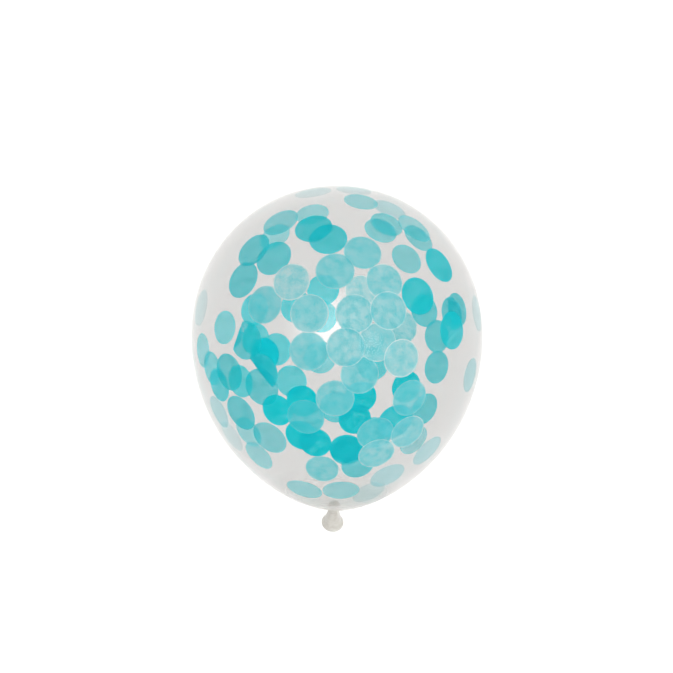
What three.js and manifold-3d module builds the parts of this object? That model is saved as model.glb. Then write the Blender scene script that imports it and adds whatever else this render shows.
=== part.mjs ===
// A clear latex party balloon, blown up, knotted and lying on its side. It is sealed, so it is one solid here:
// the blown body, its knot, and the flared tail of the neck with its rolled lip.
// Millimetres, +Z up. The crown points along +Y and the tail along -Y. The origin is the middle of the small
// flat spot that the balloon rests on.
import * as THREE from "three";
import { mergeVertices } from "three/addons/utils/BufferGeometryUtils.js";
import Module from "manifold-3d";

const wasm = await Module();
wasm.setup();

// Blown body: two half ovals that meet at the widest ring
const bodyWidth = 290;
const crownLength = 149; // from the widest ring to the top of the crown
const shoulderLength = 179; // from the widest ring to the blunt end round the knot
const crownCurve = { along: 2, across: 2.06 }; // 2 and 2 would be an ellipse
const shoulderCurve = { along: 2.05, across: 1.63 }; // leaner, as a balloon is below its widest ring
const dimpleDepth = 4; // the knot pulls the end of the body in
const dimpleRadius = 9;

const flatSpotWidth = 30; // across the spot that it rests on, so that it doesn't roll

// Knot: a lump of neck with two turns drawn tight round it
const knotCoreRadius = 5.2;
const knotTurnRadius = 4.2; // to the middle of the strand
const knotStrandRadius = 2.6;
const knotTurnLean = 30; // degrees, one way and the other
const knotSetBack = 1.5; // middle of the knot, in from the body's end
const knotOffset = -2.9; // to the left of the body's axis

// Tail: the end of the neck, which flares from the knot to a rolled lip
const tailLength = 27.6; // from the middle of the knot to the middle of the lip
const tailBend = 40; // degrees that it droops from the body's axis
const tailLean = 4.5; // degrees to the left
const waistRadius = 4.8;
const lipRadius = 8.3; // to the middle of the rolled bead
const beadRadius = 3;
const tailWall = 0.9;
const mouthFloor = 8; // where the open end stops, from the middle of the knot
const flareCurve = 1.4;

// How finely the round faces are cut
const bodySides = 64;
const crownSteps = 16;
const shoulderSteps = 18;
const tailSides = 30;
const tailSteps = 9;
const beadSides = 10;
const knotSides = 16;
const strandSides = 8;
const balanceSteps = 4000; // for finding how it rests
const slopeTolerance = 1e-4; // radians

const bodyRadius = bodyWidth / 2;
const radians = THREE.MathUtils.degToRad;

// A point of an oval's outline, where turn runs from 0 at the widest ring to a quarter turn on the axis.
function ovalPoint(turn, length, curve) {
  return {
    away: length * Math.sin(turn) ** (2 / curve.along),
    radius: bodyRadius * Math.max(Math.cos(turn), 0) ** (2 / curve.across),
  };
}

// The dimple moves a point of the blunt end towards the crown.
function dimpleAt(radius) {
  return dimpleDepth * Math.exp(-((radius / dimpleRadius) ** 2));
}

function bodyOutline(crownCount, shoulderCount) {
  const outline = [];
  for (let i = shoulderCount; i > 0; i--) {
    const p = ovalPoint(((Math.PI / 2) * i) / shoulderCount, shoulderLength, shoulderCurve);
    const radius = i === shoulderCount ? 0 : p.radius;
    outline.push(new THREE.Vector2(radius, -p.away + dimpleAt(radius)));
  }
  for (let i = 0; i <= crownCount; i++) {
    const p = ovalPoint(((Math.PI / 2) * i) / crownCount, crownLength, crownCurve);
    outline.push(new THREE.Vector2(i === crownCount ? 0 : p.radius, p.away));
  }
  return outline;
}

function solidOf(geometry) {
  const bare = geometry.clone();
  bare.deleteAttribute("normal");
  bare.deleteAttribute("uv");
  const merged = mergeVertices(bare, 1e-3);
  const vertProperties = new Float32Array(merged.attributes.position.array);
  const triVerts = new Uint32Array(merged.index.array);
  return new wasm.Manifold(new wasm.Mesh({ numProp: 3, vertProperties, triVerts }));
}

function geometryOf(solid) {
  const mesh = solid.getMesh();
  const geometry = new THREE.BufferGeometry();
  geometry.setAttribute("position", new THREE.BufferAttribute(mesh.vertProperties, 3));
  geometry.setIndex(new THREE.BufferAttribute(mesh.triVerts, 1));
  geometry.computeVertexNormals();
  return geometry;
}

function blownBody() {
  return solidOf(new THREE.LatheGeometry(bodyOutline(crownSteps, shoulderSteps), bodySides));
}

// The knot and the tail share a frame: its origin is the middle of the knot, and +Y runs along the tail.
const knotPlace = new THREE.Vector3(knotOffset, -shoulderLength + knotSetBack, 0);
const tailFrame = new THREE.Matrix4().compose(
  knotPlace,
  new THREE.Quaternion().setFromEuler(new THREE.Euler(radians(180 + tailBend), 0, radians(-tailLean), "ZXY")),
  new THREE.Vector3(1, 1, 1),
);

function knotTurn(lean) {
  const ring = new THREE.TorusGeometry(knotTurnRadius, knotStrandRadius, strandSides, knotSides);
  ring.rotateX(radians(90 + lean)).rotateY(radians(lean));
  return solidOf(ring.applyMatrix4(tailFrame));
}

function knot() {
  const core = new THREE.SphereGeometry(knotCoreRadius, knotSides, knotSides / 2);
  return solidOf(core.applyMatrix4(tailFrame)).add(knotTurn(knotTurnLean)).add(knotTurn(-knotTurnLean));
}

function flareRadius(along) {
  return waistRadius + (lipRadius + tailWall / 2 - waistRadius) * (along / tailLength) ** flareCurve;
}

function tail() {
  const wall = [new THREE.Vector2(0, 0)];
  for (let i = 0; i <= tailSteps; i++) {
    const along = (tailLength * i) / tailSteps;
    wall.push(new THREE.Vector2(flareRadius(along), along));
  }
  for (let i = tailSteps; i >= 0; i--) {
    const along = mouthFloor + ((tailLength - mouthFloor) * i) / tailSteps;
    wall.push(new THREE.Vector2(flareRadius(along) - tailWall, along));
  }
  wall.push(new THREE.Vector2(0, mouthFloor));
  const bell = new THREE.LatheGeometry(wall, tailSides).applyMatrix4(tailFrame);
  const bead = new THREE.TorusGeometry(lipRadius, beadRadius, beadSides, tailSides);
  bead.rotateX(Math.PI / 2).translate(0, tailLength, 0).applyMatrix4(tailFrame);
  return solidOf(bell).add(solidOf(bead));
}

// Where on the axis the body's middle of volume is, from the widest ring, by slices between outline points.
function middleOfVolume(outline) {
  let volume = 0;
  let moment = 0;
  for (let i = 1; i < outline.length; i++) {
    const slice = (outline[i].y - outline[i - 1].y) * (outline[i].x + outline[i - 1].x) ** 2;
    volume += slice;
    moment += (slice * (outline[i].y + outline[i - 1].y)) / 2;
  }
  return moment / volume;
}

// Where the body touches the floor when its crown is raised by this slope, from the widest ring's middle.
function touchdown(outline, slope) {
  let lowest = { below: 0, along: 0 };
  for (const p of outline) {
    const below = p.x * Math.cos(slope) - p.y * Math.sin(slope);
    if (below > lowest.below) {
      lowest = { below, along: p.y * Math.cos(slope) + p.x * Math.sin(slope) };
    }
  }
  return lowest;
}

// The body is heavier on its long side, so it settles knot down, its middle of volume over its resting point.
function restSlope(outline) {
  const middle = middleOfVolume(outline);
  let level = 0;
  let steep = Math.PI / 4;
  while (steep - level > slopeTolerance) {
    const slope = (level + steep) / 2;
    if (touchdown(outline, slope).along > middle * Math.cos(slope)) {
      level = slope;
    } else {
      steep = slope;
    }
  }
  return level;
}

function lyingBalloon() {
  const outline = bodyOutline(balanceSteps, balanceSteps);
  const slope = restSlope(outline);
  const rest = touchdown(outline, slope);
  const flatDepth = bodyRadius - Math.sqrt(bodyRadius ** 2 - (flatSpotWidth / 2) ** 2);
  const lying = new THREE.Matrix4().makeRotationX(slope).setPosition(0, -rest.along, rest.below - flatDepth);
  const tilted = geometryOf(blownBody().add(knot()).add(tail())).applyMatrix4(lying);
  const floorSpan = 2 * (bodyWidth + crownLength + shoulderLength);
  const floor = new THREE.BoxGeometry(floorSpan, floorSpan, bodyWidth).translate(0, 0, -bodyWidth / 2);
  return geometryOf(solidOf(tilted).subtract(solidOf(floor)));
}

const clearLatex = new THREE.MeshStandardMaterial({
  color: 0xe9ebea,
  roughness: 0.12,
  metalness: 0,
  transparent: true,
  opacity: 0.3,
});

const balloon = new THREE.Mesh(lyingBalloon(), clearLatex);
balloon.name = "balloon";

const confettiBalloon = new THREE.Group();
confettiBalloon.add(balloon);

export default confettiBalloon;
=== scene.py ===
import math

import bmesh
import bpy
from mathutils import Matrix, Vector, noise
from mathutils.bvhtree import BVHTree


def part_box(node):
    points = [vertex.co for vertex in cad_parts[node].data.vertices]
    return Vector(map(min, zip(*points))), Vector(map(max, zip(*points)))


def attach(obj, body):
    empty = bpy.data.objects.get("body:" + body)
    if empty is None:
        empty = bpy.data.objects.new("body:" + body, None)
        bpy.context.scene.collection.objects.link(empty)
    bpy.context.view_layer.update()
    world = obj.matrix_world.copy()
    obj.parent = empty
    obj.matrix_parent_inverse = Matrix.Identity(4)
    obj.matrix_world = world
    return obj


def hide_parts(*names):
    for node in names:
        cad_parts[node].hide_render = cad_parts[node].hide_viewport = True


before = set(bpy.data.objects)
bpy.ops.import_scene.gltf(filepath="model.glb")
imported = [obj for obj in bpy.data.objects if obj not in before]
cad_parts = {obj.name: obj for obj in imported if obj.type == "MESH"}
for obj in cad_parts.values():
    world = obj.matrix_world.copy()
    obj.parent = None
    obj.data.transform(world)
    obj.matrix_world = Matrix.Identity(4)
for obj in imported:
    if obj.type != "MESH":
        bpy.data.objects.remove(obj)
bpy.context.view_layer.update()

# The balloon lies on its side with its crown a little raised, so the whole of it hangs on one sloping axis.
# The widest ring's middle is the point that every size and place below is measured from.
MM = 0.001
body_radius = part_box("balloon")[1].x
ring_centre = Vector((0, 7.63 * MM, 144.91 * MM))
lying_slope = math.radians(9.36)
lying = Matrix.Translation(ring_centre) @ Matrix.Rotation(lying_slope, 4, "X")

# The camera looks straight down on it from arm's length, with the crown at the top of the picture.
# One millimetre at the widest ring is one pixel of a picture 673 pixels wide.
eye_height = 1450 * MM
picture_width = 673 * MM
view_offset = Vector((-0.5 * MM, -1.1 * MM, 0))
camera_data = bpy.data.cameras.new("camera")
camera_data.lens = camera_data.sensor_width * eye_height / picture_width
camera = bpy.data.objects.new("camera", camera_data)
camera.location = ring_centre + view_offset + Vector((0, 0, eye_height))
bpy.context.scene.collection.objects.link(camera)
bpy.context.scene.camera = camera

# Blown body: one skin of clear natural latex, dipped on a former and stretched to a tenth of a millimetre.
# Its outline is two half ovals that meet at the widest ring, leaner on the knot's side, and is spun about the
# sloping axis. The knot pulls its end in, and where it rests it is pressed flat.
crown_length = 149 * MM
shoulder_length = 179 * MM
crown_curve = (2, 2.06)  # how full the half oval is along and across; 2 and 2 would be an ellipse
shoulder_curve = (2.05, 1.63)
dimple_depth = 4 * MM
dimple_radius = 9 * MM
knot_hole = 2.5 * MM
skin_thickness = 0.12 * MM
outline_steps = 44
body_sides = 144
full_turn = 2 * math.pi
weld = 0.001 * MM
pleat_count = 16
pleat_depth = 0.35 * MM
pleat_reach = 16 * MM
pleat_shift = 1.5  # radians by which the pleats drift from even spacing
pleat_shift_count = 3  # times that they drift, once round


def oval_point(turn, length, curve):
    along, across = curve
    return length * math.sin(turn) ** (2 / along), body_radius * max(math.cos(turn), 0) ** (2 / across)


def body_outline():
    points = []
    for i in range(outline_steps, 0, -1):
        away, radius = oval_point(math.pi / 2 * i / outline_steps, shoulder_length, shoulder_curve)
        radius = max(radius, knot_hole)
        dimple = dimple_depth * math.exp(-((radius / dimple_radius) ** 2))
        points.append(Vector((0, dimple - away, radius)))
    for i in range(outline_steps + 1):
        away, radius = oval_point(math.pi / 2 * i / outline_steps, crown_length, crown_curve)
        points.append(Vector((0, away, radius if i < outline_steps else 0)))
    return points


def pleated(point):
    """The latex is drawn together at the knot, in fine pleats that die out within a few centimetres."""
    radius = math.hypot(point.x, point.z)
    if point.y > 0 or radius == 0:
        return point
    depth = pleat_depth * math.exp(-((radius / pleat_reach) ** 2)) * radius / (radius + knot_hole)
    turn = math.atan2(point.x, point.z)
    drift = pleat_shift * math.sin(pleat_shift_count * turn)
    return point + Vector((0, depth * math.sin(pleat_count * turn + drift), 0))


skin = bmesh.new()
outline = [skin.verts.new(point) for point in body_outline()]
edges = [skin.edges.new(pair) for pair in zip(outline, outline[1:])]
bmesh.ops.spin(
    skin,
    geom=outline + edges,
    cent=(0, 0, 0),
    axis=(0, 1, 0),
    angle=full_turn,
    steps=body_sides,
    use_merge=True,
)
bmesh.ops.remove_doubles(skin, verts=skin.verts, dist=weld)
for vert in skin.verts:
    vert.co = lying @ pleated(vert.co)
    vert.co.z = max(vert.co.z, 0)
bmesh.ops.recalc_face_normals(skin, faces=skin.faces)
wall = BVHTree.FromBMesh(skin)
shoulder = skin.copy()
bmesh.ops.solidify(skin, geom=skin.faces, thickness=skin_thickness)


def linear(hex_colour):
    """An sRGB hex colour as linear red, green, blue and alpha."""
    channels = [int(hex_colour[i : i + 2], 16) / 255 for i in (1, 3, 5)]
    return [c / 12.92 if c <= 0.04045 else ((c + 0.055) / 1.055) ** 2.4 for c in channels] + [1]


def add_node(tree, kind, settings=None, **links):
    """Adds a node. Each keyword is an input, by name or number, set to a value or another node's output."""
    node = tree.nodes.new(kind)
    for name, value in (settings or {}).items():
        setattr(node, name, value)
    for name, value in links.items():
        number = name[1:]
        socket = node.inputs[int(number)] if number.isdigit() else node.inputs[name.replace("_", " ")]
        if isinstance(value, bpy.types.NodeSocket):
            tree.links.new(value, socket)
        else:
            socket.default_value = value
    return node


def new_material(name):
    material = bpy.data.materials.new(name)
    material.use_nodes = True
    material.node_tree.nodes.clear()
    return material, material.node_tree


def finish_piece(name, mesh_data, material):
    """Turns a finished bmesh into a smooth piece that rides on the balloon."""
    mesh = bpy.data.meshes.new(name)
    for face in mesh_data.faces:
        face.smooth = True
    mesh_data.to_mesh(mesh)
    mesh_data.free()
    mesh.materials.append(material)
    piece = bpy.data.objects.new(name, mesh)
    bpy.context.scene.collection.objects.link(piece)
    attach(piece, "root")
    return piece


# Clear natural latex: see-through with a trace of grey in it, wet-looking, and never quite even, because the
# dipped skin runs a little before it sets. The runs are drawn about 12 mm apart.
latex, tree = new_material("clear_dipped_latex")
place = add_node(tree, "ShaderNodeTexCoord").outputs["Object"]
runs = add_node(tree, "ShaderNodeTexNoise", Vector=place, Scale=1 / (12 * MM), Detail=3.0, Roughness=0.5)
tint = add_node(tree, "ShaderNodeValToRGB", Fac=runs.outputs["Fac"])
tint.color_ramp.elements[0].position = 0.35
tint.color_ramp.elements[0].color = linear("#1c1d1d")
tint.color_ramp.elements[1].position = 0.7
tint.color_ramp.elements[1].color = linear("#242525")
relief = add_node(tree, "ShaderNodeBump", Strength=0.012, Distance=0.2 * MM, Height=runs.outputs["Fac"])
surface = add_node(
    tree,
    "ShaderNodeBsdfPrincipled",
    Base_Color=tint.outputs["Color"],
    Roughness=0.05,
    IOR=1.52,
    Specular_IOR_Level=0.3,
    Alpha=0.12,
    Normal=relief.outputs["Normal"],
)
add_node(tree, "ShaderNodeOutputMaterial", Surface=surface.outputs["BSDF"])

# So thin a skin keeps hardly any light from the paper in it or from the table, so it casts no shadow.
body = finish_piece("blown_body", skin, latex)
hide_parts("balloon")
body.visible_shadow = False
body.visible_diffuse = False

# Gathered shoulder: round the knot the skin is drawn together and hardly stretched, so it is thicker there
# and turns milky, which fades out within a few centimetres. It lies just inside the clear skin.
gather_full = 30 * MM
gather_reach = 76 * MM
gather_gap = 0.18 * MM
gather_cover = 0.9
knot_place = lying @ Vector((0, -shoulder_length, 0))


def milky_share(away):
    """The share of what is behind it that the skin hides this far from the knot, eased at both ends."""
    share = min(1, max(0, (gather_reach - away) / (gather_reach - gather_full)))
    return gather_cover * (share * share * (3 - 2 * share))


beyond = [vert for vert in shoulder.verts if (vert.co - knot_place).length > gather_reach]
bmesh.ops.delete(shoulder, geom=beyond, context="VERTS")
shoulder.normal_update()
milkiness = shoulder.verts.layers.float.new("milkiness")
for vert in shoulder.verts:
    vert[milkiness] = milky_share((vert.co - knot_place).length)
    vert.co -= vert.normal * gather_gap

# Gathered latex: the same skin in soft clouds 5 mm apart. The thicker it is, the more it hides.
gathered, tree = new_material("gathered_cloudy_latex")
place = add_node(tree, "ShaderNodeTexCoord").outputs["Object"]
clouds = add_node(tree, "ShaderNodeTexNoise", Vector=place, Scale=1 / (5 * MM), Detail=3.0, Roughness=0.5)
tint = add_node(tree, "ShaderNodeValToRGB", Fac=clouds.outputs["Fac"])
tint.color_ramp.elements[0].position = 0.3
tint.color_ramp.elements[0].color = linear("#e0dedb")
tint.color_ramp.elements[1].position = 0.7
tint.color_ramp.elements[1].color = linear("#e8e6e3")
cloudy = add_node(tree, "ShaderNodeAttribute", {"attribute_name": "milkiness"}).outputs["Fac"]
milk = add_node(tree, "ShaderNodeBsdfPrincipled", Base_Color=tint.outputs["Color"], Roughness=0.25, IOR=1.52)
clear = add_node(tree, "ShaderNodeBsdfTransparent")
surface = add_node(tree, "ShaderNodeMixShader", _0=cloudy, _1=clear.outputs["BSDF"], _2=milk.outputs["BSDF"])
add_node(tree, "ShaderNodeOutputMaterial", Surface=surface.outputs["Shader"])
gather = finish_piece("gathered_shoulder", shoulder, gathered)
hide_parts("balloon")
gather.visible_shadow = False
gather.visible_diffuse = False

# Knot and tail: the neck of the same skin, knotted on itself. It isn't stretched, so it is thick and milky.
# Two turns are drawn tight round a lump, and beyond it the neck flares to the rolled bead of its open end.
knot_set_back = 1.5 * MM
knot_offset = 2.9 * MM
tail_bend = math.radians(40)
tail_lean = math.radians(4.5)
tail_frame = (
    lying
    @ Matrix.Translation((-knot_offset, knot_set_back - shoulder_length, 0))
    @ Matrix.Rotation(-tail_lean, 4, "Z")
    @ Matrix.Rotation(math.pi + tail_bend, 4, "X")
)
knot_core_radius = 5.2 * MM
knot_turn_radius = 4.2 * MM
knot_strand_radius = 2.6 * MM
knot_turn_lean = math.radians(30)
tail_length = 27.6 * MM
waist_radius = 4.1 * MM
flare_radius = 9.8 * MM  # where the wall would end if it went on to the middle of the bead
flare_curve = 1.3
lip_radius = 8.3 * MM
bead_radius = 3 * MM
bead_start = tail_length - bead_radius
bead_first_turn = -65  # degrees, from where the wall's outside runs into the bead
bead_round = 310
tail_wall = 0.8 * MM
mouth_floor = 8 * MM
fold_count = 5
fold_depth = 0.45 * MM
fold_fade = 0.7  # below 1 the folds stay deep for longer
fold_turn = 0.8  # radians round from the top
neck_steps = 14
neck_sides = 96
knot_sides = 48
strand_sides = 24
strand_steps = 64


def flare(along):
    return waist_radius + (flare_radius - waist_radius) * (along / tail_length) ** flare_curve


def tail_outline():
    """Outer wall from the axis to the bead, round the bead, and back down the open mouth."""
    points = [Vector((0, 0, 0))]
    for i in range(neck_steps + 1):
        along = bead_start * i / neck_steps
        points.append(Vector((0, along, flare(along) + tail_wall / 2)))
    for i in range(neck_steps + 1):
        turn = math.radians(bead_first_turn + bead_round * i / neck_steps)
        along = tail_length + bead_radius * math.sin(turn)
        points.append(Vector((0, along, lip_radius + bead_radius * math.cos(turn))))
    for i in range(neck_steps, -1, -1):
        along = mouth_floor + (bead_start - mouth_floor) * i / neck_steps
        points.append(Vector((0, along, flare(along) - tail_wall / 2)))
    points.append(Vector((0, mouth_floor, 0)))
    return points


def folded_neck(point):
    """Soft folds run down the neck from the knot and open out before the bead."""
    radius = math.hypot(point.x, point.z)
    if radius == 0:
        return point
    turn = math.atan2(point.x, point.z)
    fade = max(0, 1 - point.y / bead_start) ** fold_fade
    change = fold_depth * fade * math.cos(fold_count * turn + fold_turn)
    return Vector((point.x * (1 + change / radius), point.y, point.z * (1 + change / radius)))


neck = bmesh.new()
outline = [neck.verts.new(point) for point in tail_outline()]
edges = [neck.edges.new(pair) for pair in zip(outline, outline[1:])]
bmesh.ops.spin(
    neck,
    geom=outline + edges,
    cent=(0, 0, 0),
    axis=(0, 1, 0),
    angle=full_turn,
    steps=neck_sides,
    use_merge=True,
)
bmesh.ops.remove_doubles(neck, verts=neck.verts, dist=weld)
for vert in neck.verts:
    vert.co = folded_neck(vert.co)

bmesh.ops.create_uvsphere(neck, u_segments=knot_sides, v_segments=knot_sides // 2, radius=knot_core_radius)
for lean in (knot_turn_lean, -knot_turn_lean):
    made_before = len(neck.verts)
    strand = bmesh.ops.create_circle(
        neck,
        segments=strand_sides,
        radius=knot_strand_radius,
        matrix=Matrix.Translation((knot_turn_radius, 0, 0)),
    )["verts"]
    ring = list(dict.fromkeys(edge for vert in strand for edge in vert.link_edges))
    bmesh.ops.spin(
        neck,
        geom=strand + ring,
        cent=(0, 0, 0),
        axis=(0, 1, 0),
        angle=full_turn,
        steps=strand_steps,
        use_merge=True,
    )
    neck.verts.ensure_lookup_table()
    leaned = Matrix.Rotation(lean, 4, "Y") @ Matrix.Rotation(lean, 4, "X")
    bmesh.ops.transform(neck, matrix=leaned, verts=neck.verts[made_before:])
bmesh.ops.transform(neck, matrix=tail_frame, verts=neck.verts)
bmesh.ops.recalc_face_normals(neck, faces=neck.faces)

# Unstretched latex: pearly and only faintly see-through, with the same wet gloss and runs drawn 3 mm apart.
milky, tree = new_material("thick_milky_latex")
place = add_node(tree, "ShaderNodeTexCoord").outputs["Object"]
runs = add_node(tree, "ShaderNodeTexNoise", Vector=place, Scale=1 / (3 * MM), Detail=3.0, Roughness=0.5)
tint = add_node(tree, "ShaderNodeValToRGB", Fac=runs.outputs["Fac"])
tint.color_ramp.elements[0].position = 0.3
tint.color_ramp.elements[0].color = linear("#cfccc4")
tint.color_ramp.elements[1].position = 0.7
tint.color_ramp.elements[1].color = linear("#dedcd6")
relief = add_node(tree, "ShaderNodeBump", Strength=0.1, Distance=0.2 * MM, Height=runs.outputs["Fac"])
surface = add_node(
    tree,
    "ShaderNodeBsdfPrincipled",
    Base_Color=tint.outputs["Color"],
    Roughness=0.12,
    IOR=1.52,
    Specular_IOR_Level=1.0,
    Transmission_Weight=0.3,
    Normal=relief.outputs["Normal"],
)
add_node(tree, "ShaderNodeOutputMaterial", Surface=surface.outputs["BSDF"])
tail = finish_piece("knot_and_tail", neck, milky)
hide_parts("balloon")

# Confetti: about a hundred round sheets of teal tissue paper, punched 36 mm across, which cling to the inside
# of the latex. Two have folded over. Each is listed by where the eye sees its middle, in millimetres across
# and along from the widest ring's middle, the upper wall's first, and on each wall from the latex inwards.
sheet_radius = 18 * MM
sheet_sides = 28
sheet_ring = 7 * MM
sheet_ring_count = 2
sheet_gap = 0.3 * MM
layer_gap = 0.35 * MM
crumple = 0.1 * MM
crumple_length = 9 * MM
crumple_step = 9  # so that no two sheets have the same crumple
tissue_kinds = {  # what the sheet hides of what is behind it, and its whiteness: undyed fibre and painted sheen
    "ghost": (0.2, 0.0),
    "faint": (0.38, 0.0),
    "pale": (0.56, 0.0),
    "light": (0.68, 0.0),
    "mid": (0.81, 0.0),
    "rich": (0.89, 0.0),
    "deep": (0.93, 0.0),
    "deepest": (0.99, 0.0),
    "soft": (0.9, 0.08),
    "dull": (0.86, 0.2),
    "chalky": (0.92, 0.34),
    "palest": (0.93, 0.48),
    "creased": (0.86, 0.0),
}
curled_edge = 0.99  # of the sheet's radius
curled_white = 0.3  # the turned-up edge of a folded sheet catches the light
# Sheets whitened here, the chalky ones round the middle most, carry a painted sheen as well as undyed fibre.
upper_wall = {
    "ghost": [(-24, 144), (-137, 28), (141, 22)],
    "faint": [(51, -141), (91, -116)],
    "pale": [(4, -156), (-33, -155), (78, 108)],
    "palest": [(-46, 54), (65, -23)],
    "chalky": [(52, 25), (9, -12), (18, 22), (41, -7), (48, 54), (-28, 22), (71, -97), (40, -119)],
    "dull": [(-29, -16), (23, -40), (-2, -64), (-2, 65), (26, 84), (73, -63), (-73, 31), (39, -99)],
    "soft": [(-32, -83)],
    "light": [(-68, -103), (-57, 114)],
    "mid": [(-84, 86), (-95, 56), (-76, -52), (-109, -37), (-97, -78), (-64, 78)],
    "rich": [(-9, 98), (-24, 109), (116, 5)],
    "deep": [(103, 71), (82, 40), (59, -87)],
}
lower_wall = {
    "ghost": [(17, 146), (-106, -101), (32, -158)],
    "faint": [(53, 127), (-119, -77), (134, -40)],
    "pale": [(24, 135), (-25, 122), (-63, 99), (-89, -97), (77, -105), (-79, -121), (-135, -15)],
    "palest": [(24, 45)],
    "chalky": [(66, 8)],
    "dull": [(-15, -134)],
    "light": [(50, 112), (44, 106), (82, 98), (70, 77), (-16, 19), (-17, -22), (-126, -33), (-113, 8)],
    "mid": [
        (-83, 26), (-41, 29), (-14, 46), (-82, -4), (88, 25), (121, 26), (116, 22), (101, -1), (101, -32),
        (36, -29), (10, -116), (21, -130), (-1, -72), (-61, -14), (-97, -46), (-119, -50), (-46, -46),
        (88, -74),
    ],
    "deepest": [
        (67, -25), (70, -52), (36, -97), (9, -114), (18, -84), (24, -62), (-73, -19), (-60, -75), (-35, -66),
        (-36, -100), (-22, -108),
    ],
}
folded_over = [  # kind, middle and the two ends of the crease
    ("mid", (-92, -5), ((-97, 10), (-106, -17))),
    ("creased", (-77, -37), ((-90, -22), (-61, -58))),
]

punched = bmesh.new()
bmesh.ops.create_circle(punched, cap_ends=True, segments=sheet_sides, radius=sheet_radius)
rim_layer = punched.verts.layers.float.new("rim")
for _ in range(sheet_ring_count):
    punched.faces.ensure_lookup_table()
    middle = max(punched.faces, key=lambda face: len(face.verts))
    bmesh.ops.inset_region(punched, faces=[middle], thickness=sheet_ring)
bmesh.ops.poke(punched, faces=[max(punched.faces, key=lambda face: len(face.verts))])
for vert in punched.verts:
    vert[rim_layer] = vert.co.length / sheet_radius
one_sheet = bpy.data.meshes.new("punched_sheet")
punched.to_mesh(one_sheet)
punched.free()

confetti = bmesh.new()
cover_layer = confetti.verts.layers.float.new("cover")
undyed_and_sheen_layer = confetti.verts.layers.float.new("white")
edge_layer = confetti.verts.layers.float.new("rim")


def sight_to(across, along):
    return (ring_centre + Vector((across, along, 0)) * MM - camera.location).normalized()


def wall_spot(across, along, lower):
    """Where a line of sight from above meets the upper wall or, past it, the lower one."""
    sight = sight_to(across, along)
    spot, normal, _, _ = wall.ray_cast(camera.location, sight)
    if lower and spot:
        spot, normal, _, _ = wall.ray_cast(spot + sight * MM, sight)
    return spot, normal


def fold_over(first, onto, spot, normal, fold):
    """Creases the flat sheet whose corners start at first and turns its outer part over, which it returns."""
    flat = onto.inverted()
    ends = []
    for across, along in fold:
        sight = sight_to(across, along)
        reach = (spot - camera.location).dot(normal) / sight.dot(normal)
        ends.append(flat @ (camera.location + sight * reach))
    crease = (ends[1] - ends[0]).normalized()
    inward = Vector((-crease.y, crease.x, 0))
    if inward.dot(ends[0]) > 0:
        inward.negate()
    corners = confetti.verts[first:]
    faces = list(dict.fromkeys(face for vert in corners for face in vert.link_faces))
    edges = list(dict.fromkeys(edge for face in faces for edge in face.edges))
    cut = bmesh.ops.bisect_plane(confetti, geom=corners + edges + faces, plane_co=ends[0], plane_no=inward)
    for part in cut["geom_cut"]:
        if isinstance(part, bmesh.types.BMEdge):
            part.smooth = False
    confetti.verts.ensure_lookup_table()
    turned = set()
    for vert in confetti.verts[first:]:
        past = (vert.co - ends[0]).dot(inward)
        if past < 0:
            vert.co -= 2 * past * inward
            turned.add(vert)
    return turned


def lay_sheet(spot, normal, gap, kind, fold):
    """Lays a copy of the punched sheet on the wall, folded over first where a fold line is given."""
    first = len(confetti.verts)
    confetti.from_mesh(one_sheet)
    confetti.verts.ensure_lookup_table()
    onto = Matrix.Translation(spot) @ normal.to_track_quat("Z", "Y").to_matrix().to_4x4()
    turned = fold_over(first, onto, spot, normal, fold) if fold else set()
    own_crumple = Vector((0, 0, crumple_step * first))
    for vert in confetti.verts[first:]:
        ripple = crumple * noise.noise(vert.co / crumple_length + own_crumple)
        place, out, _, _ = wall.find_nearest(onto @ vert.co)
        depth = gap + ripple + (layer_gap if vert in turned else 0)
        vert.co = place - out * depth
        vert[cover_layer], vert[undyed_and_sheen_layer] = tissue_kinds[kind]
        if vert in turned and vert[edge_layer] > curled_edge:
            vert[undyed_and_sheen_layer] = curled_white


for lower, groups in ((False, upper_wall), (True, lower_wall)):
    sheets = [(kind, place, None) for kind, places in groups.items() for place in places]
    if not lower:
        sheets += folded_over
    stack = []
    for kind, place, fold in sheets:
        spot, normal = wall_spot(*place, lower)
        under = [depth for other, depth in stack if (other - spot).length < 2 * sheet_radius]
        layer = 1 + max(under, default=-1)
        stack.append((spot, layer + 1 if fold else layer))
        lay_sheet(spot, normal, sheet_gap + layer * layer_gap, kind, fold)
bmesh.ops.recalc_face_normals(confetti, faces=confetti.faces)

# Tissue paper: so thin that light and the sheets behind show through it, matt, softly crinkled and dyed
# unevenly between its fibres. Undyed fibre and a painted sheen make a sheet chalky, most of all along its
# punched edge, where the extra white is a painted highlight. The fibres are drawn about 1 mm apart, coarser
# than the real ones, so that they show, and the blotches of dye 7 mm apart.
light_through = 0.45
tissue, tree = new_material("dyed_tissue_paper")
place = add_node(tree, "ShaderNodeTexCoord").outputs["Object"]
fibres = add_node(tree, "ShaderNodeTexNoise", Vector=place, Scale=1 / MM, Detail=3.0, Roughness=0.6)
blotches = add_node(tree, "ShaderNodeTexNoise", Vector=place, Scale=1 / (7 * MM), Detail=2.0)
uneven = add_node(
    tree,
    "ShaderNodeMath",
    {"operation": "ADD"},
    _0=fibres.outputs["Fac"],
    _1=blotches.outputs["Fac"],
)
cloudy = add_node(tree, "ShaderNodeMapRange", Value=uneven.outputs[0], From_Min=0.8, From_Max=1.2)
teal = add_node(
    tree,
    "ShaderNodeMix",
    {"data_type": "RGBA"},
    _0=cloudy.outputs["Result"],
    _6=linear("#00cdd8"),
    _7=linear("#00d8e4"),
)
white = add_node(tree, "ShaderNodeAttribute", {"attribute_name": "white"}).outputs["Fac"]
rim = add_node(tree, "ShaderNodeAttribute", {"attribute_name": "rim"}).outputs["Fac"]
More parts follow.
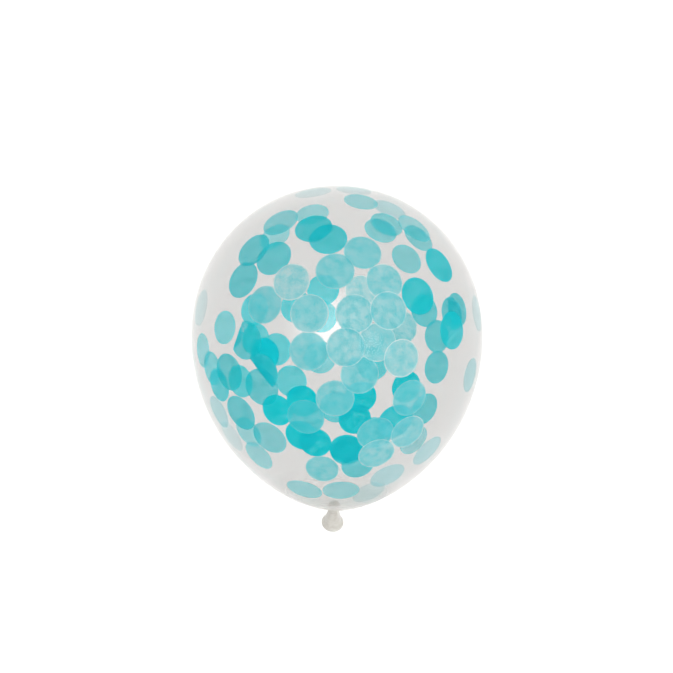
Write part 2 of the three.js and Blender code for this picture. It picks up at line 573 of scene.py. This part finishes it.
# Whiter towards the punched edge: a painted highlight of the edge catching the light.
edge = add_node(tree, "ShaderNodeMapRange", Value=rim, From_Min=0.93, From_Max=0.98, To_Min=1.0, To_Max=2.1)
flecks = add_node(
    tree,
    "ShaderNodeMapRange",
    Value=uneven.outputs[0],
    From_Min=0.75,
    From_Max=1.25,
    To_Min=0.55,
    To_Max=1.45,
)
patchy_with_edge_highlight = add_node(
    tree,
    "ShaderNodeMath",
    {"operation": "MULTIPLY"},
    _0=edge.outputs["Result"],
    _1=flecks.outputs["Result"],
)
# The sheet's white share: undyed fibre and a painted sheen, with the painted edge highlight.
undyed_and_sheen = add_node(tree, "ShaderNodeMath", {"operation": "MULTIPLY"}, _0=white, _1=patchy_with_edge_highlight.outputs[0])
dyed = add_node(
    tree,
    "ShaderNodeMix",
    {"data_type": "RGBA"},
    _0=undyed_and_sheen.outputs[0],
    _6=teal.outputs[2],
    _7=linear("#eef6f5"),
)
relief = add_node(tree, "ShaderNodeBump", Strength=0.35, Distance=0.15 * MM, Height=uneven.outputs[0])
cover = add_node(tree, "ShaderNodeAttribute", {"attribute_name": "cover"}).outputs["Fac"]
thickness = add_node(
    tree,
    "ShaderNodeMapRange",
    Value=uneven.outputs[0],
    From_Min=0.75,
    From_Max=1.25,
    To_Min=1.06,
    To_Max=0.93,
)
covered = add_node(
    tree,
    "ShaderNodeMath",
    {"operation": "MULTIPLY", "use_clamp": True},
    _0=cover,
    _1=thickness.outputs["Result"],
)
lit = add_node(
    tree,
    "ShaderNodeBsdfPrincipled",
    Base_Color=dyed.outputs[2],
    Roughness=0.85,
    Specular_IOR_Level=0.0,
    Normal=relief.outputs["Normal"],
)
through = add_node(
    tree,
    "ShaderNodeBsdfTranslucent",
    Color=dyed.outputs[2],
    Normal=relief.outputs["Normal"],
)
paper = add_node(
    tree,
    "ShaderNodeMixShader",
    _0=light_through,
    _1=lit.outputs["BSDF"],
    _2=through.outputs["BSDF"],
)
gaps = add_node(tree, "ShaderNodeBsdfTransparent")
surface = add_node(
    tree,
    "ShaderNodeMixShader",
    _0=covered.outputs[0],
    _1=gaps.outputs["BSDF"],
    _2=paper.outputs["Shader"],
)
add_node(tree, "ShaderNodeOutputMaterial", Surface=surface.outputs["Shader"])

# Light soaks through the sheets, so they cast no shadow on each other or on the table.
sheets = finish_piece("tissue_confetti", confetti, tissue)
sheets.visible_shadow = False
sheets.visible_diffuse = False

# Floor: white studio paper on the table top, a shade greyer on the floor beyond it, which stands as painted
# shade for the light falling off away from the balloon. A soft patch of it under the balloon glows, a painted
# pool of light, and shows white between the middle sheets.
floor_half = 12
floor_drop = 0.1 * MM
table_reach = 620 * MM
table_fade = 260 * MM
glow_place = (-8 * MM, 18 * MM, 0)
glow_reach = 55 * MM
glow_strength = 0.6
floor_mesh = bmesh.new()
bmesh.ops.create_grid(floor_mesh, x_segments=1, y_segments=1, size=floor_half)
bmesh.ops.translate(floor_mesh, verts=floor_mesh.verts, vec=(0, 0, -floor_drop))
floor_data = bpy.data.meshes.new("floor")
floor_mesh.to_mesh(floor_data)
floor_mesh.free()
sweep, tree = new_material("white_studio_paper")
place = add_node(tree, "ShaderNodeTexCoord").outputs["Object"]
from_middle = add_node(tree, "ShaderNodeVectorMath", {"operation": "LENGTH"}, _0=place)
from_glow_place = add_node(tree, "ShaderNodeVectorMath", {"operation": "DISTANCE"}, _0=place, _1=glow_place)
falloff_beyond_table = add_node(
    tree,
    "ShaderNodeMapRange",
    {"interpolation_type": "SMOOTHSTEP"},
    Value=from_middle.outputs["Value"],
    From_Min=table_reach,
    From_Max=table_reach + table_fade,
)
# Greyer beyond the table: partly a different floor, partly painted shade for light falling off.
shade = add_node(
    tree,
    "ShaderNodeMix",
    {"data_type": "RGBA"},
    _0=falloff_beyond_table.outputs["Result"],
    _6=linear("#f6f6f6"),
    _7=linear("#d0d0d0"),
)
# The glowing patch under the balloon is a painted pool of light, not a lamp.
painted_glow_patch = add_node(
    tree,
    "ShaderNodeMapRange",
    {"interpolation_type": "SMOOTHSTEP"},
    Value=from_glow_place.outputs["Value"],
    From_Min=0.0,
    From_Max=glow_reach,
    To_Min=glow_strength,
    To_Max=0.0,
)
surface = add_node(
    tree,
    "ShaderNodeBsdfPrincipled",
    Base_Color=shade.outputs[2],
    Roughness=0.9,
    Emission_Color=linear("#ffffff"),
    Emission_Strength=painted_glow_patch.outputs["Result"],
)
add_node(tree, "ShaderNodeOutputMaterial", Surface=surface.outputs["BSDF"])
floor_data.materials.append(sweep)
floor = bpy.data.objects.new("floor", floor_data)
bpy.context.scene.collection.objects.link(floor)

# Light: a pale room, and one broad softbox high over the balloon and to its right, brightest at its middle.
softbox_direction = Vector((0.44, -0.16, 0.88)).normalized()
softbox_core = math.radians(13)
softbox_reach = math.radians(60)
core_strength = 7
softbox_strength = 1.4
room_strength = 0.88
world = bpy.data.worlds.new("softbox_and_room")
bpy.context.scene.world = world
world.use_nodes = True
tree = world.node_tree
tree.nodes.clear()
direction = add_node(tree, "ShaderNodeTexCoord").outputs["Generated"]
towards_softbox = add_node(
    tree,
    "ShaderNodeVectorMath",
    {"operation": "DOT_PRODUCT"},
    _0=direction,
    _1=softbox_direction,
)
spill = add_node(
    tree,
    "ShaderNodeMapRange",
    {"interpolation_type": "SMOOTHSTEP"},
    Value=towards_softbox.outputs["Value"],
    From_Min=math.cos(softbox_reach),
    From_Max=1.0,
    To_Min=room_strength,
    To_Max=softbox_strength,
)
core = add_node(
    tree,
    "ShaderNodeMapRange",
    {"interpolation_type": "SMOOTHSTEP"},
    Value=towards_softbox.outputs["Value"],
    From_Min=math.cos(softbox_core),
    From_Max=1.0,
    To_Min=0.0,
    To_Max=core_strength,
)
glow = add_node(
    tree,
    "ShaderNodeMath",
    {"operation": "ADD"},
    _0=spill.outputs["Result"],
    _1=core.outputs["Result"],
)
sky = add_node(tree, "ShaderNodeBackground", Color=linear("#fffefc"), Strength=glow.outputs[0])
add_node(tree, "ShaderNodeOutputWorld", Surface=sky.outputs["Background"])

# The pale colours stay as they are on screen, and a line of sight crosses up to a dozen see-through surfaces.
bpy.context.scene.view_settings.view_transform = "Standard"
bpy.context.scene.cycles.transparent_max_bounces = 32
